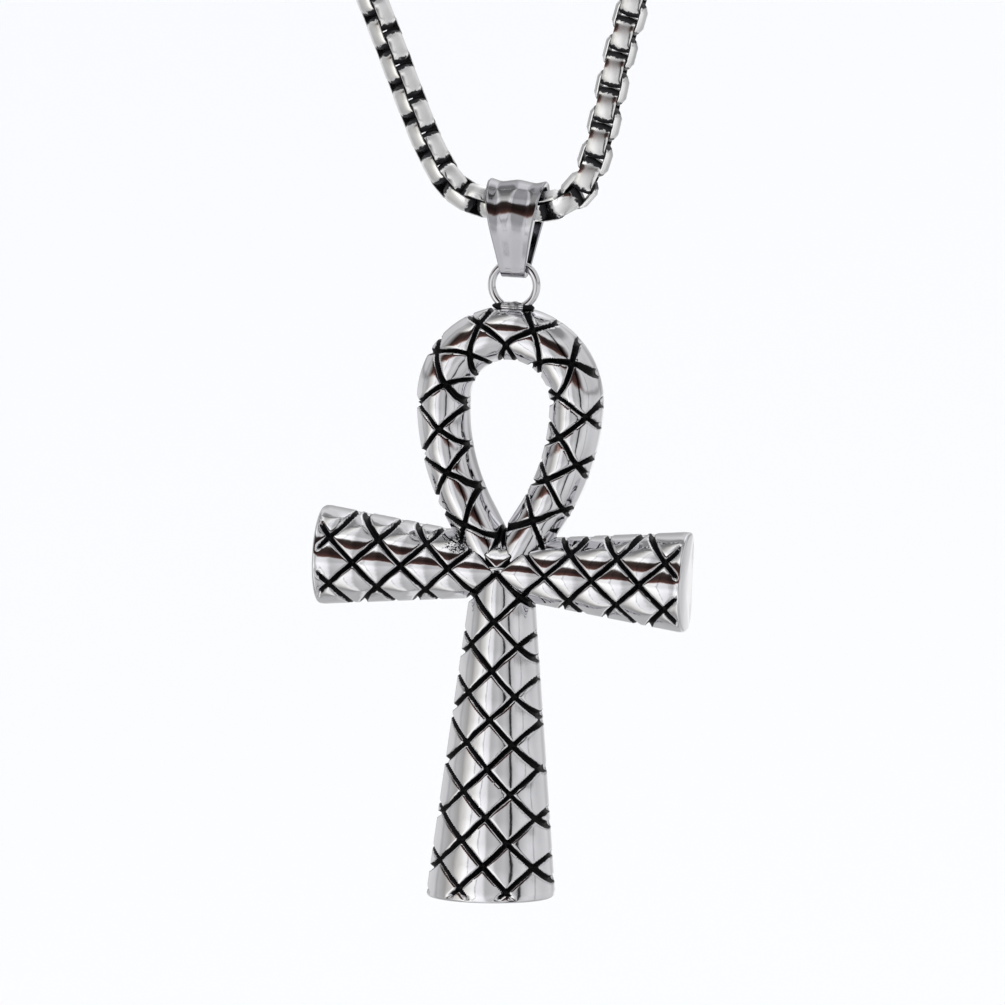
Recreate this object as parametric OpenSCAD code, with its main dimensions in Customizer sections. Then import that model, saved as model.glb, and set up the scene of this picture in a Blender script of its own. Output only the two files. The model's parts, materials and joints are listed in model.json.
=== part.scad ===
// Ankh pendant on its box chain, hung as it is worn.
// The origin is under the clasp at the nape, X runs along the crossbar, -Y is the front.

/* [Ankh] */
// Length of the crossbar
bar_length = 37.9; // [34:0.1:42]
// Height of the crossbar at its middle
bar_waist = 5.6; // [4.8:0.1:6]
// Height of the crossbar at its ends
bar_end = 10; // [8:0.1:11]
// From the crossbar's axis down to the foot of the stem
stem_length = 33.5; // [30:0.1:37]
// Width of the stem under the crossbar
stem_waist = 5.8; // [5:0.1:6.4]
// Width of the stem at its foot
stem_end = 13.1; // [11:0.1:14]
// How much higher the foot's right corner is than the middle of the foot
foot_rise = 0.4; // [0:0.05:0.6]
// From the crossbar's axis up to the top of the loop
loop_height = 26.3; // [24:0.1:29]
// Width of the opening in the loop
hole_width = 8.4; // [7.6:0.1:9.4]
// Width of the loop's band at its top
band_width = 5.2; // [4.6:0.1:5.6]
// Width of the loop's band where it runs into the crossbar
band_foot = 4.7; // [4.2:0.1:5]
// Radius of the loop's long sides, for each millimetre from their foot up to the loop's centre
side_bow = 1.25; // [1:0.05:1.35]
// How far under the crossbar's axis the middle lines of the long sides meet
loop_sink = 0.7; // [0:0.1:1]

/* [Relief] */
// Depth of the domed front at the middle of the cross
dome_middle = 3; // [2.8:0.1:3.4]
// Depth of the domed front at the ends of the arms
dome_end = 4; // [3.6:0.1:4.6]
// Depth of the domed front of the loop
dome_loop = 2.4; // [2:0.1:2.7]
// Thickness behind the widest line
back_depth = 2.2; // [1.8:0.1:2.6]
// Bevel round the ends of the arms
bevel = 0.3; // [0.1:0.05:0.5]
// Width of the engraved lines
groove_width = 0.6; // [0.4:0.05:0.8]
// Depth of the engraved lines
groove_depth = 0.45; // [0.3:0.05:0.6]
// Spacing of the crossed lines along the crossbar
cell_width = 4.9; // [4.2:0.1:5.6]
// Spacing of the crossed lines down the stem
cell_height = 4.96; // [4.2:0.02:5.6]

/* [Ring and bail] */
// Bore of the ring soldered to the loop
ring_bore = 3.76; // [3.5:0.02:4.2]
// Wire of the ring
ring_wire = 0.8; // [0.7:0.05:0.9]
// How far the ring is sunk into the loop
ring_sunk = 0.48; // [0.3:0.02:0.6]
// Width of the bail across its top
bail_width = 5.9; // [5.4:0.1:6.6]
// Wall of the bail over the chain
bail_wall = 0.7; // [0.5:0.05:0.9]
// Wall of the bail where it carries the ring
bail_foot_wall = 0.5; // [0.4:0.05:0.6]
// Radius inside the bail's foot, round the ring's wire
foot_room = 1; // [0.9:0.02:1.1]
// From the chain's middle line down to the ring's centre
bail_drop = 8; // [7.6:0.1:9]

/* [Chain] */
// Thickness of the chain
chain_width = 3.2; // [2.6:0.1:3.4]
// Room between the chain and the bail
chain_gap = 0.35; // [0.25:0.05:0.6]
// Length of the clasp's barrel
clasp_length = 12; // [10:0.5:14]
// Thickness of the clasp's barrel
clasp_width = 4; // [3.6:0.1:5]
// Bore of the eye at each end of the clasp
eye_bore = 2.4; // [2:0.1:2.8]
// Wire of the eyes
eye_wire = 0.8; // [0.7:0.05:0.9]
// Room between an eye and the chain
eye_gap = 0.2; // [0.1:0.05:0.3]

/* [Hidden] */
$fn = 48;

// The chain's middle line from the clasp down to the bail, left strand and right strand
left_route = [
    [-21, -1.7], [-35.5, -9], [-47.5, -20], [-56, -34], [-61, -49], [-62, -66], [-59.5, -84],
    [-55, -104], [-48.5, -128], [-41.5, -154], [-34.5, -180], [-28, -203], [-22, -220],
    [-17.5, -232], [-14, -240], [-11.6, -245.5], [-9.6, -249.9], [-8, -252.7], [-6.6, -254.5],
    [-4.6, -255.6], [-2.4, -256],
];
right_route = [
    [21, -1.7], [35.5, -9], [47.5, -20], [56, -34], [61, -49], [62, -66], [58.8, -86],
    [52.5, -108], [45, -131], [37.3, -155], [29.4, -179], [21.6, -203], [15.4, -221],
    [11.6, -233], [9.6, -241], [8.6, -246.6], [7.8, -250.4], [6.9, -253], [5.8, -254.6],
    [4.2, -255.6], [2.4, -256],
];
chain_bottom = [0, -256];
rings_per_point = 2;
chain_sides = 8;

// Heights of the moving pieces: the bail hangs where the chain is lowest
bail_z = chain_bottom[1];
ring_radius = ring_bore / 2 + ring_wire / 2;
ring_z = bail_z - bail_drop;
loop_top = ring_z - ring_bore / 2 - ring_wire + ring_sunk;
bar_z = loop_top - loop_height;

// The clasp lies along X, so that its underside is at the origin
clasp_z = clasp_width / 2;
eye_radius = eye_bore / 2 + eye_wire / 2;
eye_x = clasp_length / 2 + eye_radius - eye_wire / 2;
chain_end = eye_x + eye_radius + eye_wire / 2 + eye_gap;
chain_end_z = 1.2;

// Outline of the bail seen from the front: share of its height from the top, share of its width
bail_taper = [[0, 1], [0.3, 0.86], [0.62, 0.64], [0.93, 0.44], [1, 0.42]];

// Points round one section of the ankh: the domed front, then the flatter back
front_steps = 12;
back_steps = 8;
squareness = 0.5;
arc_steps = 7;
top_steps = 16;
// The engraved lines are cut down to this far in front of the widest line of each section
groove_end = 0.45;
// How far the cutters reach past what they cut, and the depth of the lines' cutters
reach = 2;
cutter_length = 10;
// The stem and the loop lie this much under the crossbar's skin, and the stem starts in its middle
seat = 0.04;
stem_start = bar_waist / 8;
loop_back = back_depth - 2 * seat;
// Angle between the loop's engraved lines and its middle line, and how far each one runs
loop_lean = 45;
loop_run = 0.75 * band_width;

loop_radius = hole_width / 2 + band_width / 2;
loop_centre = loop_height - band_width / 2 - loop_radius;
loop_fall = loop_centre + loop_sink;
side_radius = side_bow * loop_fall;
side_offset = side_radius - loop_radius;
side_turn = asin(side_radius / norm([side_offset, loop_fall])) - atan2(side_offset, loop_fall);
// Where the long sides straighten, and the length of the middle line from the top to there
side_end = [side_radius * cos(side_turn) - side_offset, loop_centre - side_radius * sin(side_turn)];
top_length = loop_radius * PI / 2;
side_length = side_radius * side_turn * PI / 180;

function mix(a, b, t) = a + (b - a) * t;
function power(v, p) = sign(v) * pow(abs(v), p);

// One section as [across, front to back], anticlockwise from its lower edge over the front
function section(half, front, back) = concat(
    [for (i = [0:front_steps]) let (a = 180 * i / front_steps - 90)
        [half * sin(a), -front * cos(a)]],
    [for (i = [1:back_steps - 1]) let (a = 90 + 180 * i / back_steps)
        [half * power(sin(a), squareness), -back * power(cos(a), squareness)]]);

// Skin through a row of sections, each a list of as many points, closed by flat ends or round
module loft(rows, closed = false) {
    n = len(rows);
    m = len(rows[0]);
    points = [for (row = rows) each row];
    last = closed ? n - 1 : n - 2;
    walls = [for (r = [0:last], i = [0:m - 1])
        let (j = (i + 1) % m, a = r * m, b = ((r + 1) % n) * m)
        each [[a + i, b + i, b + j], [a + i, b + j, a + j]]];
    ends = closed ? [] : [[for (i = [0:m - 1]) i], [for (i = [m - 1:-1:0]) (n - 1) * m + i]];
    polyhedron(points, concat(walls, ends), convexity = 6);
}

// Half height of the crossbar, half width of the stem and their domes, away from the middle
function bar_half(x) = mix(bar_waist, bar_end, 2 * abs(x) / bar_length) / 2;
function bar_dome(x) = mix(dome_middle, dome_end, 2 * abs(x) / bar_length);
function stem_half(z) = mix(stem_waist, stem_end, z / stem_length) / 2;
function stem_dome(z) = mix(dome_middle, dome_end, z / stem_length);

// The crossbar; the core under its engraved lines is thinner and longer
module crossbar(inset = 0, longer = 0, soft = bevel) {
    tip = bar_length / 2 + longer;
    stations = [[tip, soft], [tip - soft, 0], [0, 0], [soft - tip, 0], [-tip, soft]];
    loft([for (s = stations) [for (p = section(bar_half(s[0]) - inset - s[1],
        bar_dome(s[0]) - inset - s[1], back_depth - s[1])) [s[0], p[1], bar_z + p[0]]]]);
}

module stem(inset = 0, longer = 0, soft = bevel) {
    foot = stem_length + longer;
    stations = [[foot, soft], [foot - soft, 0], [-stem_start, 0]];
    loft([for (s = stations) [for (p = section(stem_half(s[0]) - inset - s[1],
        stem_dome(s[0]) - inset - s[1] - seat, back_depth - s[1] - seat))
        [p[0], p[1], bar_z - s[0] + foot_rise * (p[0] * 2 / stem_end) * (s[0] / stem_length)]]]);
}

// Middle line of the loop's right half by its length from the top: [x, z, turn from +X]
function loop_line(s) = s < top_length
    ? let (a = 90 * s / top_length) [loop_radius * sin(a), loop_centre + loop_radius * cos(a), a]
    : s < top_length + side_length
    ? let (a = side_turn * (s - top_length) / side_length)
        [side_radius * cos(a) - side_offset, loop_centre - side_radius * sin(a), 90 + a]
    : let (t = s - top_length - side_length)
        [side_end[0] - t * sin(side_turn), side_end[1] - t * cos(side_turn), 90 + side_turn];
function band_half(s) = mix(band_width, band_foot, max(0, s - top_length) / side_length) / 2;

function loop_section(s, side, inset) =
    let (c = loop_line(s), h = band_half(s) - inset)
    [for (p = section(h, dome_loop - inset, loop_back))
        [side * (c[0] + p[0] * sin(c[2])), p[1], bar_z + c[1] + p[0] * cos(c[2])]];

// Where both strands meet over the middle of the crossbar, each point runs on down to x = 0
function mitre_section(inset) =
    [for (p = section(band_foot / 2 - inset, dome_loop - inset, loop_back))
        let (x = side_end[0] + p[0] * cos(side_turn), z = side_end[1] - p[0] * sin(side_turn))
        [0, p[1], bar_z + z - x / tan(side_turn)]];

module loop(inset = 0) {
    right = [for (i = [0:top_steps / 2]) top_length * 2 * i / top_steps];
    sides = [for (i = [1:arc_steps]) top_length + side_length * i / arc_steps];
    down = concat(right, sides);
    n = len(down);
    loft(concat([for (s = down) loop_section(s, -1, inset)], [mitre_section(inset)],
        [for (i = [n - 1:-1:1]) loop_section(down[i], 1, inset)]), closed = true);
}

// One engraved line between two points of the front view, cut down from the front
module line(a, b) {
    run = b - a;
    translate([a[0], -cutter_length, bar_z + a[1]])
        rotate([0, -atan2(run[1], run[0]), 0])
            translate([0, 0, -groove_width / 2])
                cube([norm(run), cutter_length - groove_end, groove_width]);
}

// Lines of the crossbar and stem: one lattice, through the middle of the cross
module cross_lines() {
    slope = cell_height / cell_width;
    flare = (bar_end - bar_waist) / bar_length;
    bottom = -stem_length - reach;
    first = -floor((stem_end / 2 + stem_length / slope) / cell_width);
    last = floor((bar_length + bar_end / slope) / 2 / cell_width);
    for (side = [-1, 1], k = [first:last]) {
        // The line z = slope * (k * cell_width - x), cut off along the crossbar's top edge
        right = k >= 0;
        top = (bar_waist / 2 + (right ? 1 : -1) * flare * k * cell_width)
            / (1 + (right ? 1 : -1) * flare / slope);
        low = min(top, slope * (k * cell_width + bar_length / 2 + reach));
        far = max(bottom, slope * (k * cell_width - bar_length / 2 - reach));
        if (low > far)
            line([side * (k * cell_width - low / slope), low],
                [side * (k * cell_width - far / slope), far]);
    }
}

// Crossed lines round the loop, an even number of times from the top to the crossbar
module loop_lines() {
    run = top_length + side_length + norm(side_end) - bar_waist / 2;
    count = round(run / cell_width);
    for (side = [-1, 1], k = [(side + 1) / 2:count], lean = [-1, 1]) {
        c = loop_line(run * k / count);
        a = c[2] + lean * loop_lean;
        mid = [side * c[0], c[1]];
        way = loop_run * [side * cos(a), -sin(a)];
        line(mid - way, mid + way);
    }
}

module ring() {
    translate([0, 0, ring_z])
        rotate([90, 0, 0])
            rotate_extrude()
                translate([ring_radius, 0])
                    circle(ring_wire / 2);
}

module ankh() {
    color("silver") {
        difference() {
            union() {
                crossbar();
                stem();
                loop();
            }
            difference() {
                union() {
                    cross_lines();
                    loop_lines();
                }
                crossbar(groove_depth, reach, 0);
                stem(groove_depth, reach, 0);
                loop(groove_depth);
            }
        }
        ring();
    }
}

// A drop seen from the side, round the chain above and round the ring's wire below
module drop(top, foot, wide) {
    low = [0, ring_radius - bail_drop];
    turn = asin((top - foot) / norm(low));
    way = [cos(turn), -sin(turn)];
    other = [-way[0], way[1]];
    rotate([90, 0, 90]) {
        cylinder(h = wide, r = top, center = true);
        translate(low)
            cylinder(h = wide, r = foot, center = true);
        linear_extrude(wide, center = true)
            polygon([top * way, low + foot * way, low + foot * other, top * other]);
    }
}

// A strap folded round the chain, its ends joined under the ring's wire, narrower downwards
module bail() {
    top = chain_width / 2 + chain_gap + bail_wall;
    height = top + bail_drop - ring_radius + foot_room + bail_foot_wall;
    edge = [for (t = bail_taper) [bail_width / 2 * t[1], top - height * t[0]]];
    other_edge = [for (i = [len(edge) - 1:-1:0]) [-edge[i][0], edge[i][1]]];
    color("gainsboro")
        translate([0, 0, bail_z])
            intersection() {
                difference() {
                    drop(top, foot_room + bail_foot_wall, bail_width + reach);
                    drop(top - bail_wall, foot_room, bail_width + 2 * reach);
                }
                rotate([90, 0, 0])
                    linear_extrude(2 * (top + reach), center = true)
                        polygon(concat(edge, other_edge));
            }
}

// A smooth curve through the route's points, and the way along it
function curve(p, steps) = [for (i = [0:len(p) - 2], k = [0:(i == len(p) - 2 ? steps : steps - 1)])
    let (a = p[max(i - 1, 0)], b = p[i], c = p[i + 1], d = p[min(i + 2, len(p) - 1)], t = k / steps)
    (2 * b + (c - a) * t + (2 * a - 5 * b + 4 * c - d) * t * t
        + (3 * b - a - 3 * c + d) * t * t * t) / 2];

module chain() {
    route = concat([[-chain_end, chain_end_z]], left_route, [chain_bottom],
        [for (i = [len(right_route) - 1:-1:0]) right_route[i]], [[chain_end, chain_end_z]]);
    line = curve(route, rings_per_point);
    last = len(line) - 1;
    rows = [for (i = [0:last])
        let (way = line[min(i + 1, last)] - line[max(i - 1, 0)], out = [way[1], -way[0]] / norm(way))
        [for (k = [0:chain_sides - 1])
            let (a = 360 * k / chain_sides, r = chain_width / 2)
            [line[i][0] + r * cos(a) * out[0], r * sin(a), line[i][1] + r * cos(a) * out[1]]]];
    color("silver")
        loft(rows);
}

// Plain barrel with a soldered eye at each end for the chain's last links
module clasp() {
    r = clasp_width / 2;
    color("silver")
        translate([0, 0, clasp_z]) {
            rotate([0, 90, 0])
                cylinder(h = clasp_length - 2 * r, r = r, center = true);
            for (side = [-1, 1]) {
                translate([side * (clasp_length / 2 - r), 0, 0])
                    sphere(r);
                translate([side * eye_x, 0, 0])
                    rotate_extrude()
                        translate([eye_radius, 0])
                            circle(eye_wire / 2);
            }
        }
}

chain();
clasp();
bail();
ankh();
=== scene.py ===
import json
import math
import bmesh
import bpy
import numpy as np
from mathutils import Matrix, Vector


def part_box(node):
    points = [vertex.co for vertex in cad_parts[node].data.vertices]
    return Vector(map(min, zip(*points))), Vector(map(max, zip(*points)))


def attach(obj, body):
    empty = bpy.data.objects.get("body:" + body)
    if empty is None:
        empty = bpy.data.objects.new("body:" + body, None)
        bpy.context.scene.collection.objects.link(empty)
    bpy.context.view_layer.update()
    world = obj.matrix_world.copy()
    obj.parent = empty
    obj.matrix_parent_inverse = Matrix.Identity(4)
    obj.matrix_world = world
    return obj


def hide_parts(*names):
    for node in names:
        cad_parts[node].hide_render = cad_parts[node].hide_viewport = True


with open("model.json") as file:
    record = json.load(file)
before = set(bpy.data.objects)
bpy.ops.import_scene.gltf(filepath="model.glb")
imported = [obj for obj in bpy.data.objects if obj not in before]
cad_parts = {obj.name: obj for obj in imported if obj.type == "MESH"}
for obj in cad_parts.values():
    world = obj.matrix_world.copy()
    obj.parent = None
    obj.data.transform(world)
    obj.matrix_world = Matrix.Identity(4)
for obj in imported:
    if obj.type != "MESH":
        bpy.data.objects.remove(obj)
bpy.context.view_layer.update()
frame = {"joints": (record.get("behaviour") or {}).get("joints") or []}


# Camera
# A long lens a little to the right of the pendant and above it, turned a little, so that the
# ankh leans as it does when it is photographed lying loosely on its chain.
camera_turn = math.radians(13.3)
camera_lift = math.radians(9.5)
camera_roll = math.radians(2.25)
camera_distance = 0.55
picture_width = 0.1005
sensor_width = 36
crossbar_height = -0.2925
# The middle of the picture: just left of the loop's middle line and above the crossbar
aim = Vector((-0.00032, 0.0, crossbar_height + 0.00665))

scene = bpy.context.scene
toward = Vector((math.sin(camera_turn) * math.cos(camera_lift),
                 -math.cos(camera_turn) * math.cos(camera_lift), math.sin(camera_lift)))
camera = bpy.data.objects.new("camera", bpy.data.cameras.new("camera"))
scene.collection.objects.link(camera)
scene.camera = camera
camera.location = Vector((0, 0, crossbar_height)) + toward * camera_distance
look = (aim - camera.location).normalized()
camera.rotation_euler = (look.to_track_quat("-Z", "Y").to_matrix()
                         @ Matrix.Rotation(camera_roll, 3, "Z")).to_euler()
camera.data.sensor_width = sensor_width
camera.data.lens = sensor_width * camera_distance / picture_width
camera.data.clip_end = 50


# Studio
# A plain pale floor well under the pendant, and a round of soft light: bright cards with a dark
# band above the camera and a dark upright card to its right, which the polished metal mirrors.
floor_drop = 0.11
floor_half = 5.0
floor_colour, floor_roughness = (0.873, 0.883, 0.912, 1), 0.7
backdrop_colour = (0.95, 0.96, 0.99, 1)
lamp_strength, lamp_softness, lamp_aim = 2.12, math.radians(30), (0.35, 0.45, -1)
# Soft patches bend the light a little: how much, and how closely they follow each other
unevenness, patches = 0.10, 7.0
# Light from in front, from both sides and from behind: degrees above the horizon, brightness or
# colour
front_light = [
    (-90, 0.92), (-60, 0.94), (-45, 0.98), (-30, 1.12), (-18, 1.2), (-9.5, 0.95), (3, 0.98),
    (5.5, (0.34, 0.19, 0.16)), (8, (0.1, 0.05, 0.042)), (20, (0.035, 0.022, 0.02)),
    (33, (0.05, 0.038, 0.034)), (35.5, (0.4, 0.38, 0.37)), (38, 1.25), (48, 1.2), (53, 0.84),
    (90, 0.98)]
side_light = [(-90, 0.6), (-40, 0.75), (-8, 1.0), (0, 0.9), (4, 0.45), (9, 0.85), (48, 0.92),
              (58, 0.42), (78, 0.36), (90, 0.6)]
back_light = [(-90, 0.7), (-40, 0.75), (-14, 0.9), (-7, 0.8), (0, 0.5), (30, 0.75), (55, 1.05),
              (90, 0.98)]
# How far the front's and the back's light reach: degrees to the right of the front, share
front_reach = [(-72, 0), (-54, 1), (34, 1), (52, 0)]
back_reach = [(-150, 1), (-130, 0), (130, 0), (150, 1)]
# The cards that stand round the pendant: degrees to the right of the front, brightness or
# colour
cards = [
    (-176, 1.2), (-164, 0.72), (-140, 0.8), (-97, 0.76), (-88, 0.5), (-80, 0.6),
    (-60, (0.46, 0.45, 0.43)), (-46, (0.78, 0.77, 0.73)), (-34, (1.14, 1.13, 1.09)),
    (-26.5, 1.2), (-25.5, 0.4), (-24, 1.1), (-12, 0.96), (-5, 0.56), (10, 0.66), (22, 0.5),
    (23, 0.015), (28, 0.02), (30.5, 0.6), (50, 0.84), (64, 0.84), (66, 0.35), (68, 0.8),
    (90, 0.72), (120, 0.8), (162, 0.78), (174, 1.2)]


def node(tree, kind, inputs=None, **settings):
    """A new node, with its inputs joined or set by name or number."""
    made = tree.nodes.new(kind)
    for name, value in settings.items():
        setattr(made, name, value)
    for name, value in (inputs or {}).items():
        if isinstance(value, bpy.types.NodeSocket):
            tree.links.new(value, made.inputs[name])
        else:
            made.inputs[name].default_value = value
    return made


def math_node(tree, operation, *values):
    return node(tree, "ShaderNodeMath", dict(enumerate(values)), operation=operation).outputs[0]


def mix_colours(tree, share, first, second, blend="MIX"):
    return node(tree, "ShaderNodeMix", {0: share, 6: first, 7: second}, data_type="RGBA",
                blend_type=blend).outputs[2]


def light_table(tree, turn, stops, full_turn):
    """Brightness by angle from a table in degrees; turn runs from 0 to 1 over the full turn."""
    made = node(tree, "ShaderNodeValToRGB", {0: turn})
    elements = made.color_ramp.elements
    while len(elements) > 1:
        elements.remove(elements[-1])
    for i, (degrees, brightness) in enumerate(stops):
        place = degrees / full_turn + 0.5
        element = elements[0] if i == 0 else elements.new(place)
        element.position = place
        shade = brightness if isinstance(brightness, tuple) else (brightness,) * 3
        element.color = (*shade, 1)
    return made.outputs[0]


def make_floor():
    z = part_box("ankh")[0].z - floor_drop
    mesh = bpy.data.meshes.new("floor")
    corners = [(-1, -1), (1, -1), (1, 1), (-1, 1)]
    mesh.from_pydata([(x * floor_half, y * floor_half, z) for x, y in corners], [], [(0, 1, 2, 3)])
    floor = bpy.data.objects.new("floor", mesh)
    scene.collection.objects.link(floor)
    material = bpy.data.materials.new("floor_paint")
    material.use_nodes = True
    shader = material.node_tree.nodes["Principled BSDF"]
    shader.inputs["Base Color"].default_value = floor_colour
    shader.inputs["Roughness"].default_value = floor_roughness
    mesh.materials.append(material)
    floor.visible_glossy = False


def light_studio():
    world = bpy.data.worlds.new("studio")
    scene.world = world
    world.use_nodes = True
    tree = world.node_tree
    tree.nodes.clear()
    straight = node(tree, "ShaderNodeTexCoord").outputs["Generated"]
    uneven = node(tree, "ShaderNodeTexNoise",
                  {"Vector": straight, "Scale": patches, "Detail": 2.0}).outputs["Color"]
    uneven = node(tree, "ShaderNodeVectorMath", {0: uneven, 1: (0.5, 0.5, 0.5)},
                  operation="SUBTRACT").outputs[0]
    uneven = node(tree, "ShaderNodeVectorMath", {0: uneven, "Scale": unevenness},
                  operation="SCALE").outputs[0]
    way = node(tree, "ShaderNodeVectorMath", {0: uneven, 1: straight}, operation="ADD").outputs[0]
    way = node(tree, "ShaderNodeVectorMath", {0: way}, operation="NORMALIZE").outputs[0]
    parts = node(tree, "ShaderNodeSeparateXYZ", {0: way}).outputs
    lift = math_node(tree, "ARCSINE", parts["Z"])
    lift = math_node(tree, "MULTIPLY_ADD", lift, 1 / math.pi, 0.5)
    turn = math_node(tree, "ARCTAN2", parts["X"], math_node(tree, "MULTIPLY", parts["Y"], -1.0))
    turn = math_node(tree, "MULTIPLY_ADD", turn, 0.5 / math.pi, 0.5)
    front, side, back = [light_table(tree, lift, stops, 180)
                         for stops in (front_light, side_light, back_light)]
    light = mix_colours(tree, light_table(tree, turn, back_reach, 360), side, back)
    light = mix_colours(tree, light_table(tree, turn, front_reach, 360), light, front)
    light = mix_colours(tree, 1.0, light, light_table(tree, turn, cards, 360), "MULTIPLY")
    seen = node(tree, "ShaderNodeLightPath").outputs["Is Camera Ray"]
    light = mix_colours(tree, seen, light, backdrop_colour)
    shine = node(tree, "ShaderNodeBackground", {"Color": light, "Strength": 1.0}).outputs[0]
    node(tree, "ShaderNodeOutputWorld", {0: shine})
    lamp = bpy.data.objects.new("key_light", bpy.data.lights.new("key_light", "SUN"))
    scene.collection.objects.link(lamp)
    lamp.data.angle = lamp_softness
    lamp.data.energy = lamp_strength
    lamp.visible_glossy = False
    lamp.rotation_euler = Vector(lamp_aim).to_track_quat("-Z", "Y").to_euler()


make_floor()
light_studio()
scene.view_settings.view_transform = "Standard"


# Ankh
# One casting of stainless steel, tumbled and buffed to a mirror. Crossbar, stem and loop are domed
# in front and flat behind, crossed lines are cut into the domes and blackened, and the hanging
# ring is soldered on top. Its sizes are in millimetres.
MM = 0.001
# Half length of the crossbar, and its half height at the middle and at the ends
bar_half_length, bar_waist, bar_end = 18.95, 2.8, 5.0
# Length of the stem, its half width at the crossbar and the foot, the rise of its right corner
stem_length, stem_waist, stem_end, foot_rise = 33.5, 2.9, 6.55, 0.4
# Depth of the dome at the middle of the cross, at the ends of its arms and on the loop
dome_middle, dome_end, dome_loop = 3.0, 4.0, 2.4
# Depth of the back, and the power that makes it squarer than an ellipse
back_depth, back_power = 2.2, 0.5
# Height of the loop over the crossbar's axis, half width of its band at the top and at the foot
loop_height, band_top, band_foot = 26.3, 2.6, 2.35
# Radii of the loop's top and of its long sides, which meet this far under the crossbar's axis
loop_radius, side_radius, loop_sink = 6.8, 22.0, 0.7
# Radii of the ring's middle line and wire, the solder's half sizes and drop from the ring's centre
ring_centre = Vector(frame["joints"][1]["pos_m"])
ring_middle, ring_wire = 2.28, 0.4
solder_size, solder_drop = (2.2, 0.85, 0.5), 2.15
# Degrees between the points round the ring, its wire and the solder, and points along the solder
ring_step, ring_wire_step, solder_step, solder_points = 5, 20, 15, 25
# How far the stem starts above the crossbar's axis, and how much lower than the crossbar's skin
# the stem's dome and the loop's back lie
stem_overlap, stem_sink, loop_back_sink = 0.7, 0.04, 0.08
# Radius of the arms' rounded ends and the points round it, and the points' spacing elsewhere
round_edge, edge_steps, spacing = 0.3, 6, 0.16
# Points of a section behind its widest line, in degrees past that line
back_steps = np.array([0, 1.5, 4, 8, 14, 22, 32, 44, 58, 74])
# The crossed lines: spacing on the cross and on the loop, half width, depth, how far each strays
cell_width, cell_height, loop_cell = 2.45, 2.48, 4.75
line_half, line_depth = 0.21, 0.42
cross_waver, loop_waver = 0.035, 0.13
# A line's wall starts this far inside its edge and ends this far outside
wall_inside, wall_outside = 0.13, 0.05
# The metal between the lines is pillowed: the pillows' rise on each piece, how far from the lines
# they rise, and how far the skin as a whole is swollen
pillow_bar, pillow_stem, pillow_loop, pillow_reach, swell = 0.22, 0.12, 0.12, 1.7, 0.06
# Degrees from the middle of the front over which the pillows, the cuts and their black fade out
pillow_fade, cut_fade, black_fade = (50, 80), (96, 108), (99, 106)
# The lines fade out between these distances from the ends of the arms
plain_rim = (0.2, 0.75)
# Where the lines on the loop cross: length from the top, shift outwards, shift along the band
crossings = [(-28, 0.6, 0), (-23.8, 0.6, 0.14), (-19, 0, 1.0), (-14.25, 0, 0.56),
             (-9.5, -0.45, 0.55), (-7.1, -0.66, 0.37), (-2.4, -1.06, 0), (0, -1.1, -0.2),
             (2.4, -1.4, -0.1), (7.1, -1.3, -0.48), (9.5, -1.6, -0.2), (11.9, -0.95, -0.37),
             (14.25, -0.94, -0.5), (16.6, -1.1, -0.64), (19, -0.9, -0.5), (21.4, -0.6, -1.0),
             (24, 0.1, -0.8), (28, 0.3, -0.3)]
# How far the loop's lines run along the band for each millimetre across it
loop_lean = 0.92
# The loop's strands turn into each other in so many steps, and the lines fade on the way there
mitre_steps, mitre_fade = 44, (0.86, 0.97)
# Distances from the lines that are past all their black: on an arm's sides, and on bare pieces
past_sides, far_off = 3.0, 9.0
# The solder is black past this share of its half length, and between counts as this far from a
# line, which leaves it blotched
solder_black, solder_blotched = 0.55, 0.27
# The black fades out this far outside a line's edge, less a ragged and a slow waver
black_edge, ragged, slow_waver = (0.21, 0.27), 0.16, 0.22
# How closely both wavers and the pits follow each other, and the noise from which on a spot is
# a pit
ragged_scale, slow_scale, pit_scale, pit_noise = 1500.0, 330.0, 5200.0, (0.46, 0.56)
black_colour, black_roughness = (0.004, 0.004, 0.005, 1), 0.42
# Middle and reach of the rough, pitted spot beside the loop's left foot, in metres, and how
# much nearer to a line its pits count than they are
pitted_place, pitted_reach = (-0.0046, -0.0022, crossbar_height + 0.0027), (0.0006, 0.0015)
pitted_black = 1.8
cast_colour, cast_roughness = (0.79, 0.79, 0.82), 0.05
# On every polished piece: how closely the smears, the waves and the buffing grain follow each
# other, the waves' share to the grain's, and the height in metres and strength of both
smear_scale, wave_scale, grain_scale = 260.0, 420.0, 4200.0
wave_share, grain_height, grain_strength = 6.0, 0.000006, 0.35
# The colour that smears leave, how much rougher they are, and the shine at a grazing view
smear_tone, smear_roughness, grazing_shine = 0.93, 2, 0.12
# Faces that meet at more than this are shaded apart
sharp_angle = math.radians(50)
bar_z = crossbar_height / MM


def smooth_step(low, high, value):
    t = np.clip((value - low) / (high - low), 0, 1)
    return t * t * (3 - 2 * t)


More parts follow.
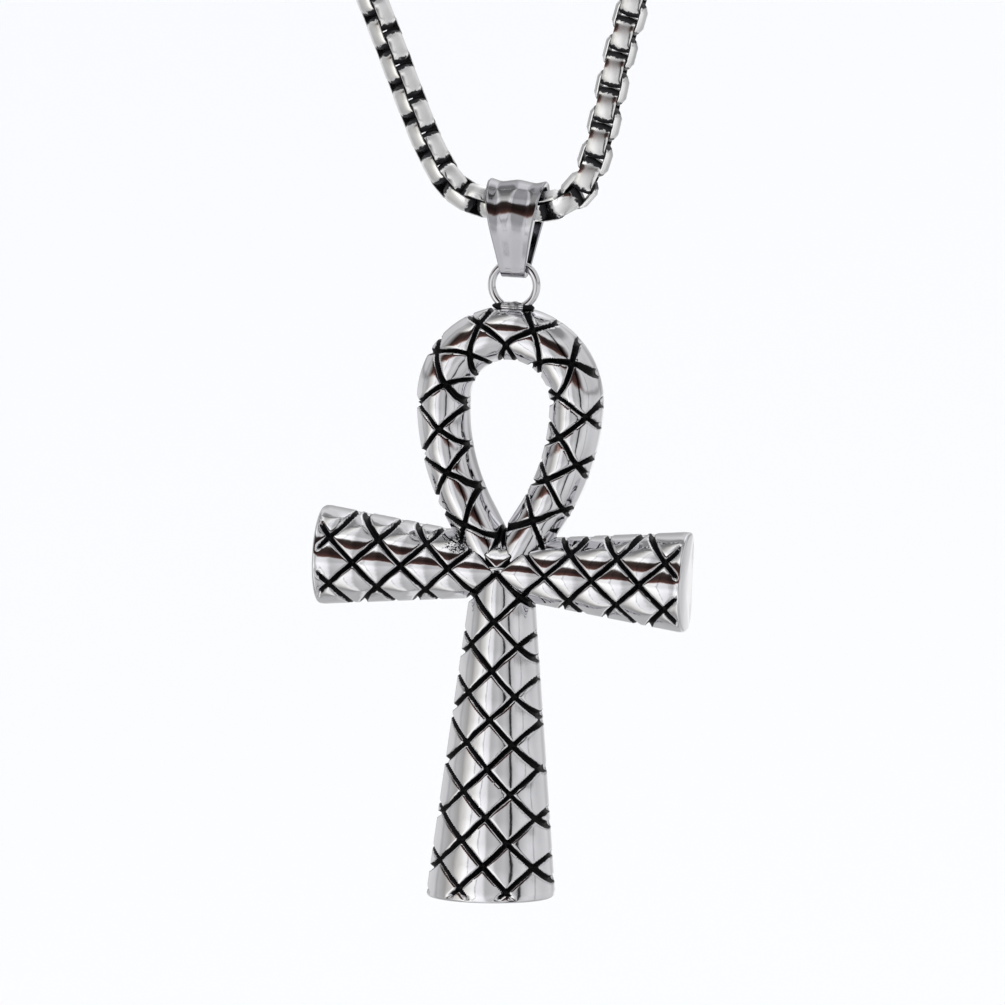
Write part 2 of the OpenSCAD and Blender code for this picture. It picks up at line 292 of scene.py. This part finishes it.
def closed_skin(name, points, ring=False, layers=None):
    """A closed skin over rows of points that run round a piece, capped at both ends or a ring."""
    rows, columns = points.shape[:2]
    here = np.arange(rows * columns).reshape(rows, columns)
    ahead = np.roll(here, -1, 0)
    start, stop = (here, ahead) if ring else (here[:-1], ahead[:-1])
    quads = np.stack([start, stop, np.roll(stop, -1, 1), np.roll(start, -1, 1)], -1)
    verts = points.reshape(-1, 3)
    faces = quads.reshape(-1, 4).tolist()
    if not ring:
        middles = (len(verts), len(verts) + 1)
        verts = np.vstack([verts, points[0].mean(0), points[-1].mean(0)])
        for row, middle in zip((here[0], here[-1][::-1]), middles):
            faces += [[a, b, middle] for a, b in zip(row.tolist(), np.roll(row, -1).tolist())]
    mesh = bpy.data.meshes.new(name)
    mesh.from_pydata((verts * MM).tolist(), [], faces)
    for layer, values in (layers or {}).items():
        spread = np.full(len(verts), far_off, np.float32)
        spread[:rows * columns] = values.reshape(-1)
        mesh.attributes.new(layer, "FLOAT", "POINT").data.foreach_set("value", spread)
    work = bmesh.new()
    work.from_mesh(mesh)
    bmesh.ops.recalc_face_normals(work, faces=work.faces)
    work.to_mesh(mesh)
    work.free()
    mesh.polygons.foreach_set("use_smooth", [True] * len(mesh.polygons))
    made = bpy.data.objects.new(name, mesh)
    scene.collection.objects.link(made)
    return made


def section_angles(count):
    """Angles round a section: fine over the domed front, coarser round the back."""
    front = np.linspace(-90, 90, count, endpoint=False)
    rear = 90 + back_steps
    return np.radians(np.concatenate([front, rear, [180], 360 - rear[::-1][:-1]]))


def place_section(angles, half, front, back):
    """Across and depth of each angle: half an ellipse in front, a squarer form behind."""
    s, c = np.sin(angles), np.cos(angles)
    rear = c < -1e-9
    across = np.where(rear, np.sign(s) * np.abs(s) ** back_power, s) * half
    depth = np.where(rear, np.abs(c) ** back_power * back, -c * front)
    return across, depth


def hand_waver(x, z, seed):
    """A slow waver of a hand-held cutter, between about -1 and 1."""
    return (np.sin(0.9 * x + 1.7 * seed) * np.cos(0.7 * z - seed)
            + 0.5 * np.sin(2.1 * z + 1.3 * x + 2.9 * seed)) / 1.5


def to_nearest(value, step):
    return np.abs(value - step * np.round(value / step))


def cut_lines(first, second, angles, pillow, plain=0):
    """How deep the surface is sunk, and its distance to the nearest line, from both families."""
    rise = [1 - (1 - np.clip(d / pillow_reach, 0, 1)) ** 2 for d in (first, second)]
    nearest = np.minimum(first, second)
    side = np.degrees(np.abs(np.arctan2(np.sin(angles), np.cos(angles))))
    on_front = (1 - smooth_step(*cut_fade, side)) * (1 - plain)
    cut = line_depth * (1 - smooth_step(line_half - wall_inside, line_half + wall_outside, nearest))
    bulge = pillow * (1 - rise[0] * rise[1]) * (1 - smooth_step(*pillow_fade, side)) - swell
    sink = (cut + bulge) * on_front
    return sink, nearest + past_sides * smooth_step(*black_fade, side) + plain


def cross_lines(x, z):
    """Distances to the two families of lines that run over the crossbar and the stem."""
    steep = math.hypot(1 / cell_width, 1 / cell_height)
    return [to_nearest(x / cell_width + side * z / cell_height
                       + cross_waver * hand_waver(x, z, 1 + side), 2) / steep for side in (1, -1)]


def make_arm(name, stations, pillow, half_of, dome_of, place):
    """A straight arm over stations from one end to the other; place puts a point in the view."""
    angles = section_angles(int(math.pi * half_of(stations[0]) / spacing))
    edge = [(round_edge * (1 - math.cos(t)), round_edge * (1 - math.sin(t)))
            for t in np.linspace(0, math.pi / 2, edge_steps)]
    first, last = stations[0], stations[-1]
    way = np.sign(last - first)
    rows = [(first + way * along, inset) for along, inset in edge]
    rows += [(s, 0) for s in stations if abs(s - first) > round_edge and abs(s - last) > round_edge]
    rows += [(last - way * along, inset) for along, inset in edge[::-1]]
    points, marks = [], []
    for along, inset in rows:
        half, dome = half_of(along), dome_of(along)
        across, depth = place_section(angles, half, dome, back_depth)
        x, z = place(along, across)
        rim = min(abs(along - first), abs(along - last))
        plain = 1 - smooth_step(*plain_rim, rim)
        sink, mark = cut_lines(*cross_lines(x, z), angles, pillow, plain)
        radius = np.hypot(across, depth)
        keep = 1 - (sink + inset) / radius
        x, z = place(along, across * keep)
        points.append(np.stack([x, depth * keep, z + bar_z], -1))
        marks.append(mark)
    return closed_skin(name, np.array(points), layers={"line": np.array(marks)})


def make_crossbar():
    return make_arm("crossbar", np.arange(bar_half_length, -bar_half_length - 0.01, -spacing),
                    pillow_bar,
                    lambda x: bar_waist + (bar_end - bar_waist) * abs(x) / bar_half_length,
                    lambda x: dome_middle + (dome_end - dome_middle) * abs(x) / bar_half_length,
                    lambda along, across: (np.full_like(across, along), across))


def make_stem():
    return make_arm("stem", np.arange(stem_length, -stem_overlap, -spacing), pillow_stem,
                    lambda d: stem_waist + (stem_end - stem_waist) * d / stem_length,
                    lambda d: dome_middle - stem_sink + (dome_end - dome_middle) * d / stem_length,
                    lambda along, across: (
                        across, across * foot_rise / stem_end * along / stem_length - along))


def make_loop():
    centre = loop_height - band_top - loop_radius
    offset = side_radius - loop_radius
    fall = centre + loop_sink
    turn = math.asin(side_radius / math.hypot(offset, fall)) - math.atan2(offset, fall)
    top_length = loop_radius * math.pi / 2
    side_length = side_radius * turn
    bend = top_length + side_length
    angles = section_angles(int(math.pi * band_top / spacing))
    crossing, outwards, onwards = np.array(crossings).T

    def line_at(s):
        """Place and direction of the band's middle line at a length from the top."""
        if s < top_length:
            a = s / loop_radius
            return loop_radius * math.sin(a), centre + loop_radius * math.cos(a), a
        a = min(s - top_length, side_length) / side_radius
        return side_radius * math.cos(a) - offset, centre - side_radius * math.sin(a), math.pi / 2 + a

    def row(s, share, side):
        """s is the length along the band; past the bend, share of the way to the middle."""
        x0, z0, a = line_at(s)
        half = band_top + (band_foot - band_top) * max(0, min(s, bend) - top_length) / side_length
        across, depth = place_section(angles, half, dome_loop, back_depth - loop_back_sink)

        def run(u):
            """How far each point has run on past the bend, straight towards the middle."""
            return share * (x0 + u * math.sin(a)) / math.sin(turn)

        length = side * (s + run(across))
        off = across - np.interp(length, crossing, outwards)
        on = length - np.interp(length, crossing, onwards)
        curve = 1 / loop_radius if s < top_length else 1 / side_radius if share == 0 else 0
        lengthen = 1 + across * curve
        steep = np.sqrt(1 / lengthen ** 2 + 1)
        lines = [to_nearest(on + lean * off * loop_lean
                            + loop_waver * hand_waver(length, off, 3 + lean), loop_cell) / steep
                 for lean in (1, -1)]
        sink, mark = cut_lines(*lines, angles, pillow_loop)
        sink = sink * (1 - smooth_step(*mitre_fade, share))
        keep = 1 - sink / np.hypot(across, depth)
        u = across * keep
        x = x0 + u * math.sin(a) - run(u) * math.sin(turn)
        z = z0 + u * math.cos(a) - run(u) * math.cos(turn)
        return np.stack([side * x, depth * keep, z + bar_z], -1), mark

    stations = [(s, 0) for s in np.linspace(0, bend, int(bend / spacing))]
    stations += [(bend, share) for share in np.linspace(0, 1, mitre_steps)[1:]]
    rows = [row(s, share, -1) for s, share in stations]
    rows += [row(s, share, 1) for s, share in stations[-2:0:-1]]
    return closed_skin("loop", np.array([points for points, mark in rows]), ring=True,
                       layers={"line": np.array([mark for points, mark in rows])})


def make_ring():
    around = np.radians(np.arange(0, 360, ring_step))
    about = np.radians(np.arange(0, 360, ring_wire_step))
    radius = ring_middle + ring_wire * np.cos(about)
    points = np.stack([np.outer(np.cos(around), radius),
                       np.tile(ring_wire * np.sin(about), (len(around), 1)),
                       np.outer(np.sin(around), radius)], -1) + np.array(ring_centre) / MM
    return closed_skin("ring", points, ring=True, layers={"line": np.full(points.shape[:2], far_off)})


def make_solder():
    """The lump of solder under the ring, uneven in thickness and blackened at both ends."""
    along = np.linspace(-1, 1, solder_points)
    about = np.radians(np.arange(0, 360, solder_step))
    uneven = 1 + 0.08 * np.sin(9 * along + 1) + 0.05 * np.sin(17 * along)
    thick = np.sqrt(1 - along ** 2 + 1e-4) * uneven
    points = np.stack([np.tile(solder_size[0] * along[:, None], (1, len(about))),
                       solder_size[1] * np.outer(thick, np.cos(about)),
                       solder_size[2] * np.outer(thick, np.sin(about))], -1)
    points += (0, 0, ring_centre.z / MM - solder_drop)
    ends = np.where(np.abs(along) > solder_black, 0.0, solder_blotched)
    return closed_skin("solder", points, layers={"line": np.tile(ends[:, None], (1, len(about)))})


def unite(base, others):
    for other in others:
        cut = base.modifiers.new("unite", "BOOLEAN")
        cut.operation = "UNION"
        cut.solver = "MANIFOLD"
        cut.object = other
        mesh = bpy.data.meshes.new_from_object(base.evaluated_get(
            bpy.context.evaluated_depsgraph_get()))
        base.modifiers.remove(cut)
        base.data = mesh
        bpy.data.objects.remove(other)
    return base


def noise(tree, place, scale, detail):
    return node(tree, "ShaderNodeTexNoise",
                {"Vector": place, "Scale": scale, "Detail": detail}).outputs["Fac"]


def from_to(tree, value, start, stop, low=0.0, high=1.0, interpolation="LINEAR"):
    """The value's run from start to stop turned into one from low to high."""
    return node(tree, "ShaderNodeMapRange",
                {"Value": value, "From Min": start, "From Max": stop, "To Min": low, "To Max": high},
                interpolation_type=interpolation).outputs[0]


def polished_steel(name, colour, roughness, finish=None):
    """Steel buffed to a mirror, with faint waviness, fine buffing grain and smears of polish."""
    material = bpy.data.materials.new(name)
    material.use_nodes = True
    tree = material.node_tree
    shader = tree.nodes["Principled BSDF"]
    shader.inputs["Specular IOR Level"].default_value = grazing_shine
    shader.inputs["Metallic"].default_value = 1.0
    place = node(tree, "ShaderNodeTexCoord").outputs["Object"]
    smear = noise(tree, place, smear_scale, detail=3.0)
    grain = noise(tree, place, grain_scale, detail=2.0)
    wave = noise(tree, place, wave_scale, detail=1.0)
    tone = from_to(tree, smear, 0.3, 0.7, smear_tone, 1.0)
    tint = mix_colours(tree, 1.0, (*colour, 1), tone, "MULTIPLY")
    gloss = from_to(tree, smear, 0.25, 0.75, roughness, roughness * smear_roughness)
    height = math_node(tree, "MULTIPLY_ADD", wave, wave_share, grain)
    bump = node(tree, "ShaderNodeBump", {"Strength": grain_strength, "Distance": grain_height,
                                         "Height": height}).outputs[0]
    if finish:
        tint, gloss, metal = finish(tree, place, tint, gloss)
        tree.links.new(metal, shader.inputs["Metallic"])
    tree.links.new(tint, shader.inputs["Base Color"])
    tree.links.new(gloss, shader.inputs["Roughness"])
    tree.links.new(bump, shader.inputs["Normal"])
    return material


def blackened(tree, place, tint, gloss):
    """Black where the cut lines are, ragged a little at their edges, and in the pitted spot."""
    distance = node(tree, "ShaderNodeAttribute", attribute_name="line").outputs["Fac"]
    away = node(tree, "ShaderNodeVectorMath", {0: place, 1: pitted_place},
                operation="DISTANCE").outputs["Value"]
    near = from_to(tree, away, *pitted_reach, pitted_black, 0.0)
    pits = from_to(tree, noise(tree, place, pit_scale, detail=3.0), *pit_noise)
    distance = math_node(tree, "SUBTRACT", distance, math_node(tree, "MULTIPLY", near, pits))
    for scale, detail, waver in [(ragged_scale, 4.0, ragged), (slow_scale, 1.0, slow_waver)]:
        distance = math_node(tree, "MULTIPLY_ADD", noise(tree, place, scale, detail), waver, distance)
    bare = from_to(tree, distance, line_half + black_edge[0], line_half + black_edge[1],
                   interpolation="SMOOTHSTEP")
    tint = mix_colours(tree, bare, black_colour, tint)
    gloss = node(tree, "ShaderNodeMix", {0: bare, 2: black_roughness, 3: gloss}).outputs[0]
    return tint, gloss, bare


def make_ankh():
    ankh = unite(make_crossbar(), [make_stem(), make_loop(), make_ring(), make_solder()])
    ankh.name = "ankh_casting"
    ankh.data.materials.clear()
    ankh.data.materials.append(polished_steel("blackened_steel", cast_colour, cast_roughness,
                                              blackened))
    ankh.data.polygons.foreach_set("use_smooth", [True] * len(ankh.data.polygons))
    ankh.data.set_sharp_from_angle(angle=sharp_angle)
    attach(ankh, "ankh")
    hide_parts("ankh")


make_ankh()


# Bail
# A strap of pressed stainless steel folded over the chain and closed under the ring. Its upper
# half is fluted lengthwise and the flutes run together and fade towards the narrow foot.
bail_hinge = Vector(frame["joints"][0]["pos_m"])
# Width over the chain, outer radii over the chain and under the ring, and how far those lie apart
bail_width, bail_roll, bail_foot, bail_length = 5.9, 2.65, 1.5, 5.72
bail_wall_top, bail_wall_foot = 0.7, 0.5
# Points over the chain, down each leaf and under the ring, how often their bends are eased, and
# the heights between which that easing starts
over_steps, leaf_steps, under_steps, bail_easing, easing_start = 60, 34, 22, 60, (-4.5, -3.0)
# How far the front leaf bulges, and the heights between which the bulge fades above and below
bail_bulge, bulge_above, bulge_below = 0.6, (-2.2, 2.65), (-6.5, -1.8)
# The strap's width by share of the bail's height from its top
bail_taper = [(0, 1.0), (0.3, 0.86), (0.62, 0.64), (0.93, 0.44), (1, 0.42)]
# Flutes across the strap: share of its half width, depth under the ridges
flutes = [(-1, 0.03), (-0.93, 0.0), (-0.6, 0.24), (-0.5, 0.24), (-0.05, 0.0), (0.05, 0.0),
          (0.55, 0.24), (0.66, 0.24), (0.95, 0.0), (1, 0.03)]
# The flutes are softened by this run of weights, and lose this share of their depth between
# these depths under the hinge
flute_softness = [0.1, 0.2, 0.4, 0.2, 0.1]
flute_loss, flute_fade = 0.93, (-0.8, 3.4)
# The strap's edges fall away by this much, from this share of its half width on
rounded_edge, edge_share = 0.12, 0.94
# Points across the strap outside and inside, and the inside's share of the width
across_steps, inside_steps, inside_share = 61, 9, 0.97
# The strap's steel colour, darkened below the casting's to paint shade into it, and its roughness
shaded_pressed_colour, pressed_roughness = (0.49, 0.49, 0.52), 0.06


def drop_path(roll, foot):
    """Points round a drop seen from its side, as (y, z) with the outward direction of each."""
    lean = math.asin((roll - foot) / bail_length)
    over = np.linspace(-lean, math.pi + lean, over_steps)
    under = np.linspace(math.pi + lean, 2 * math.pi - lean, under_steps)
    down = np.linspace(0, 1, leaf_steps)[1:-1]

    def leaf(shares, a):
        sizes = [(roll + (foot - roll) * share, share) for share in shares]
        return [(r * math.cos(a), r * math.sin(a) - bail_length * share, a) for r, share in sizes]

    path = [(roll * math.cos(a), roll * math.sin(a), a) for a in over]
    path += leaf(down, math.pi + lean)
    path += [(foot * math.cos(a), foot * math.sin(a) - bail_length, a) for a in under]
    path += leaf(down[::-1], -lean)
    return np.array(path)


def soften(path):
    """The same path with the bends of its upper half eased and its front leaf bulging a little."""
    eased = path.copy()
    for _ in range(bail_easing):
        eased[:, :2] = (np.roll(eased, 1, 0) + 2 * eased + np.roll(eased, -1, 0))[:, :2] / 4
    z = path[:, 1:2]
    share = smooth_step(*easing_start, z)
    bulge = bail_bulge * (1 - smooth_step(*bulge_above, z)) * smooth_step(*bulge_below, z)
    return path * (1 - share) + eased * share - (path[:, :1] < 0) * bulge * (1, 0, 0)


def strap_half(z):
    height = bail_roll + bail_length + bail_foot
    return bail_width / 2 * np.interp((bail_roll - z) / height, *np.array(bail_taper).T)


def make_bail():
    outer = soften(drop_path(bail_roll, bail_foot))
    inner = drop_path(bail_roll - bail_wall_top, bail_foot - bail_wall_foot)
    across = np.sin(np.linspace(-math.pi / 2, math.pi / 2, across_steps))
    within = np.linspace(inside_share, -inside_share, inside_steps)
    fluted = np.interp(across, *np.array(flutes).T)
    fluted = np.convolve(np.pad(fluted, len(flute_softness) // 2, "edge"), flute_softness, "valid")
    edges = rounded_edge * smooth_step(edge_share, 1.0, np.abs(across))
    rows = []
    for (y, z, a), (y_in, z_in, _) in zip(outer, inner):
        depth = fluted * (1.0 - flute_loss * smooth_step(*flute_fade, -z)) + edges
        face = np.stack([across * strap_half(z), y - depth * math.cos(a), z - depth * math.sin(a)], -1)
        back = np.stack([within * strap_half(z_in), np.full(inside_steps, y_in),
                         np.full(inside_steps, z_in)], -1)
        rows.append(np.vstack([face, back]) + (0, 0, bail_hinge.z / MM))
    bail = closed_skin("bail_strap", np.array(rows), ring=True)
    bail.data.materials.append(polished_steel("pressed_steel_painted_shade", shaded_pressed_colour, pressed_roughness))
    bail.data.set_sharp_from_angle(angle=sharp_angle)
    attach(bail, "bail")
    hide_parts("bail")


make_bail()


# Chain
# A rounded box chain of stainless steel: short wide links bent from strip, each turned a quarter
# round and hooked into the last. Shade is painted dark inside the links and towards their ends.
link_pitch = 1.8
# A link's outline and the width of its strip, and the hole that the next links pass through
link_wide, link_long, link_deep = 3.3, 3.5, 1.9
hole_wide, hole_long = 2.06, 1.86
# How much a link's sides and its ends fall away from the middle of the strip to its edges
side_belly, end_belly = 0.45, 0.12
# A quarter of a link's outline and of its hole's, as shares of their half width and half length
outline = [(1.0, 0.46), (0.8, 0.8), (0.53, 1.0)]
hole_outline = [(1.0, 0.75), (0.97, 0.95), (0.86, 1.0)]
# Share of the half length, with how dark the painted shade makes the strip there
painted_shade_rise = [(0.46, 0.0), (0.8, 0.8), (1.0, 1.0)]
drawn_colour, drawn_roughness = (0.97, 0.97, 0.98), 0.26
worn_colour, worn_roughness = (0.98, 0.98, 0.98, 1), 0.08
# Colour and roughness of the shade painted inside the links and towards their ends
painted_shade_colour, painted_shade_roughness = (0.02, 0.02, 0.022, 1), 0.2
# Where the wear starts and is full, from the middle of the strip at 0 to its edges at 1
wear = (0.35, 0.9)
# How dark a spot is where it is all in painted shade and where it is bare, how much a noise darkens
# it, and how closely that noise's spots follow each other
painted_shade_edge, painted_shade_noise, painted_shade_scale = (1.15, 0.95), 0.9, 2600.0
# Middle line from the left end of the clasp down to the bail and up to its right end, as (x, z)
lowest_point = (0, -256)
chain_route = [
    (-8.95, 1.4), (-21, -1.7), (-35.5, -9), (-47.5, -20), (-56, -34), (-61, -49), (-62, -66),
    (-59.5, -84), (-55, -104), (-48.5, -128), (-41.5, -154), (-34.5, -180), (-28, -203),
    (-22, -220), (-17.5, -232), (-14, -240), (-11.6, -245.5), (-9.6, -249.9), (-8, -252.7),
    (-6.6, -254.5), (-4.6, -255.6), (-2.4, -256), lowest_point, (2.4, -256), (4.2, -255.6),
    (5.8, -254.6), (6.9, -253), (7.8, -250.4), (8.6, -246.6), (9.6, -241), (11.6, -233),
    (15.4, -221), (21.6, -203), (29.4, -179), (37.3, -155), (45, -131), (52.5, -108), (58.8, -86),
    (62, -66), (61, -49), (56, -34), (47.5, -20), (35.5, -9), (21, -1.7), (8.95, 1.4)]
curve_steps = 12
# The left strand's twist grows between these lengths from the clasp, and ends between this far
# before and after the middle of the bail
left_twist = math.radians(37)
untwisted_to, twisted_from = 40, 120
bail_before, bail_after = 1, 11


def make_link():
    """One link, its middle at the origin, long along Z, its opening along Y.

    Its columns of points run round the link, from the hole over the strip and back to the hole,
    and all but the one along the middle of the strip are sharp.
    """
    def whole(quarter):
        q = np.array(quarter)
        return np.vstack([q, q[::-1] * (-1, 1), -q, q[::-1] * (1, -1)])

    rim, hole = whole(outline), whole(hole_outline)
    outward = rim ** 3 / np.linalg.norm(rim ** 3, axis=1)[:, None] * (side_belly, end_belly)
    # Painted shade: the strip is painted darker towards the link's ends, where the next links hook in
    dark = np.interp(np.abs(rim[:, 1]), *zip(*painted_shade_rise))
    half = link_deep / 2
    middle = 2
    columns, painted_shade, worn = [], [], []
    for y, fall in [(-half, None), (-half, 1), (0, 0), (half, 1), (half, None)]:
        if fall is None:
            x, z = (hole * (hole_wide, hole_long) / 2).T
        else:
            x, z = (rim * (link_wide, link_long) / 2 - fall * outward).T
        columns.append(np.stack([x, np.full_like(x, y), z], -1))
        # The hole's walls are painted all in shade
        painted_shade.append(np.ones(len(x)) if fall is None else dark)
        worn.append(np.full(len(x), 1.0 if y else 0.0))
    link = closed_skin("link", np.stack(columns, 1), ring=True,
                       layers={"painted_shade": np.stack(painted_shade, 1), "worn": np.stack(worn, 1)})
    first, second = (np.array([edge.vertices[:] for edge in link.data.edges]) % len(columns)).T
    sharp = (first == second) & (first != middle)
    link.data.attributes.new("sharp_edge", "BOOLEAN", "EDGE").data.foreach_set("value", sharp)
    return link


def route_curve(points):
    """A polyline through the route's points, curved smoothly from each to the next."""
    p = np.array(points, float)
    p = np.vstack([p[0], p, p[-1]])
    t = np.linspace(0, 1, curve_steps, endpoint=False)[:, None]
    line = [0.5 * (2 * b + (c - a) * t + (2 * a - 5 * b + 4 * c - d) * t ** 2
                   + (3 * b - a - 3 * c + d) * t ** 3)
            for a, b, c, d in zip(p[:-3], p[1:-2], p[2:-1], p[3:])]
    return np.vstack(line + [p[-1:]])


def link_chain_tree():
    """Links set along the route, each a quarter turn on, with a slow twist of the left strand."""
    tree = bpy.data.node_groups.new("link_chain", "GeometryNodeTree")
    tree.interface.new_socket("Geometry", in_out="INPUT", socket_type="NodeSocketGeometry")
    for label, kind in [("Link", "Object"), ("Links", "Int"), ("Left twist", "Float"),
                        ("Untwisted to", "Float"), ("Twisted from", "Float"), ("Bail", "Float"),
                        ("Past the bail", "Float"), ("Steel", "Material")]:
        tree.interface.new_socket(label, in_out="INPUT", socket_type="NodeSocket" + kind)
    tree.interface.new_socket("Geometry", in_out="OUTPUT", socket_type="NodeSocketGeometry")
    given = node(tree, "NodeGroupInput").outputs
    line = node(tree, "GeometryNodeMeshToCurve", {"Mesh": given["Geometry"]}).outputs[0]
    line = node(tree, "GeometryNodeResampleCurve", {"Curve": line, "Count": given["Links"]}).outputs[0]
    along = node(tree, "GeometryNodeSplineParameter").outputs["Length"]
    tangent = node(tree, "GeometryNodeInputTangent").outputs[0]
    turn = node(tree, "FunctionNodeAlignRotationToVector", {"Vector": tangent}, axis="Z").outputs[0]
    turn = node(tree, "FunctionNodeAlignRotationToVector",
                {"Rotation": turn, "Vector": (0, 1, 0)}, axis="Y", pivot_axis="Z").outputs[0]
    wind = from_to(tree, along, given["Untwisted to"], given["Twisted from"],
                   interpolation="SMOOTHSTEP")
    unwind = from_to(tree, along, given["Bail"], given["Past the bail"], 1.0, 0.0, "SMOOTHSTEP")
    twist = math_node(tree, "MULTIPLY", math_node(tree, "MULTIPLY", wind, unwind), given["Left twist"])
    odd = math_node(tree, "MODULO", node(tree, "GeometryNodeInputIndex").outputs[0], 2.0)
    angle = math_node(tree, "MULTIPLY_ADD", odd, math.pi / 2, twist)
    spin = node(tree, "FunctionNodeAxisAngleToRotation", {"Axis": (0, 0, 1), "Angle": angle}).outputs[0]
    turn = node(tree, "FunctionNodeRotateRotation", {"Rotation": turn, "Rotate By": spin},
                rotation_space="LOCAL").outputs[0]
    link = node(tree, "GeometryNodeObjectInfo", {"Object": given["Link"]}).outputs["Geometry"]
    links = node(tree, "GeometryNodeInstanceOnPoints",
                 {"Points": line, "Instance": link, "Rotation": turn}).outputs[0]
    links = node(tree, "GeometryNodeRealizeInstances", {"Geometry": links}).outputs[0]
    links = node(tree, "GeometryNodeSetMaterial",
                 {"Geometry": links, "Material": given["Steel"]}).outputs[0]
    node(tree, "NodeGroupOutput", {"Geometry": links})
    return tree


def hook_links(made, tree, values):
    """Put the object's mesh through a node tree and keep the plain mesh that comes out."""
    work = made.modifiers.new("links", "NODES")
    work.node_group = tree
    for item in tree.interface.items_tree:
        if item.in_out == "INPUT" and item.name in values:
            work[item.identifier] = values[item.name]
    mesh = bpy.data.meshes.new_from_object(made.evaluated_get(
        bpy.context.evaluated_depsgraph_get()))
    made.modifiers.remove(work)
    made.data = mesh


def wear_and_painted_shade(tree, place, tint, gloss):
    """Edges worn bright by the tumbling, and dark shade painted on the links' inner faces and ends."""
    worn = node(tree, "ShaderNodeAttribute", attribute_name="worn").outputs["Fac"]
    worn = from_to(tree, worn, *wear, interpolation="SMOOTHSTEP")
    tint = mix_colours(tree, worn, tint, worn_colour)
    gloss = node(tree, "ShaderNodeMix", {0: worn, 2: gloss, 3: worn_roughness}).outputs[0]
    # Painted shade: dark where the shade attribute plus a noise is high
    inner = node(tree, "ShaderNodeAttribute", attribute_name="painted_shade").outputs["Fac"]
    inner = math_node(tree, "MULTIPLY_ADD", noise(tree, place, painted_shade_scale, detail=4.0),
                      painted_shade_noise, inner)
    bare = from_to(tree, inner, *painted_shade_edge, interpolation="SMOOTHSTEP")
    tint = mix_colours(tree, bare, painted_shade_colour, tint)
    gloss = node(tree, "ShaderNodeMix", {0: bare, 2: painted_shade_roughness, 3: gloss}).outputs[0]
    return tint, gloss, bare


def make_chain():
    line = route_curve(chain_route)
    lengths = np.concatenate([[0], np.cumsum(np.linalg.norm(np.diff(line, axis=0), axis=1))])
    to_bail = lengths[chain_route.index(lowest_point) * curve_steps]
    # An odd count gives the route's two ends links that lie the same way, for the clasp's eyes
    count = 2 * round(lengths[-1] / link_pitch / 2) + 1
    mesh = bpy.data.meshes.new("chain_links")
    mesh.from_pydata([(x * MM, 0, z * MM) for x, z in line],
                     [(i, i + 1) for i in range(len(line) - 1)], [])
    chain = bpy.data.objects.new("chain_links", mesh)
    scene.collection.objects.link(chain)
    link = make_link()
    hook_links(chain, link_chain_tree(), {
        "Link": link, "Links": count, "Left twist": left_twist,
        "Untwisted to": untwisted_to * MM, "Twisted from": twisted_from * MM,
        "Bail": (to_bail - bail_before) * MM, "Past the bail": (to_bail + bail_after) * MM,
        "Steel": polished_steel("drawn_steel_with_painted_shade", drawn_colour, drawn_roughness, wear_and_painted_shade)})
    bpy.data.objects.remove(link)
    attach(chain, "chain")
    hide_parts("chain")


make_chain()


# Clasp
# A plain turned barrel of stainless steel at the nape, with a soldered eye at each end for the
# last links. The photograph doesn't show it, so it is plain.
clasp_height = 2.0
# Half of the barrel from its middle out, as (x, radius)
clasp_profile = [(0, 2.0), (0.06, 1.99), (0.12, 1.9), (0.18, 1.99), (0.24, 2.0), (3.3, 2.0),
                 (3.38, 1.97), (3.46, 1.9), (3.54, 1.97), (3.62, 2.0), (4.0, 2.0), (4.5, 1.94),
                 (5.0, 1.74), (5.4, 1.43), (5.7, 1.05), (5.9, 0.62), (6.0, 0.25)]
# Distance of the eyes from the barrel's middle, and radii of their middle line and wire
eye_middle, eye_radius, eye_wire = 7.2, 1.6, 0.4
turned_colour, turned_roughness = (0.80, 0.80, 0.81), 0.08
# Degrees between the points round the barrel and the eyes, and round an eye's wire
turned_step, wire_step = 7.5, 22.5


def make_clasp():
    half = np.array(clasp_profile)
    profile = np.vstack([half[:0:-1] * (-1, 1), half])
    about = np.radians(np.arange(0, 360, turned_step))
    points = np.stack([np.tile(profile[:, :1], (1, len(about))), np.outer(profile[:, 1], np.cos(about)),
                       np.outer(profile[:, 1], np.sin(about)) + clasp_height], -1)
    barrel = closed_skin("clasp_barrel", points)
    round_wire = np.radians(np.arange(0, 360, wire_step))
    radius = eye_radius + eye_wire * np.cos(round_wire)
    eyes = [closed_skin("eye", np.stack([
        np.outer(np.cos(about), radius) + side * eye_middle, np.outer(np.sin(about), radius),
        np.tile(eye_wire * np.sin(round_wire), (len(about), 1)) + clasp_height], -1), ring=True)
        for side in (-1, 1)]
    clasp = unite(barrel, eyes)
    clasp.data.materials.clear()
    clasp.data.materials.append(polished_steel("turned_steel", turned_colour, turned_roughness))
    clasp.data.polygons.foreach_set("use_smooth", [True] * len(clasp.data.polygons))
    clasp.data.set_sharp_from_angle(angle=sharp_angle)
    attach(clasp, "chain")
    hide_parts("clasp")


make_clasp()
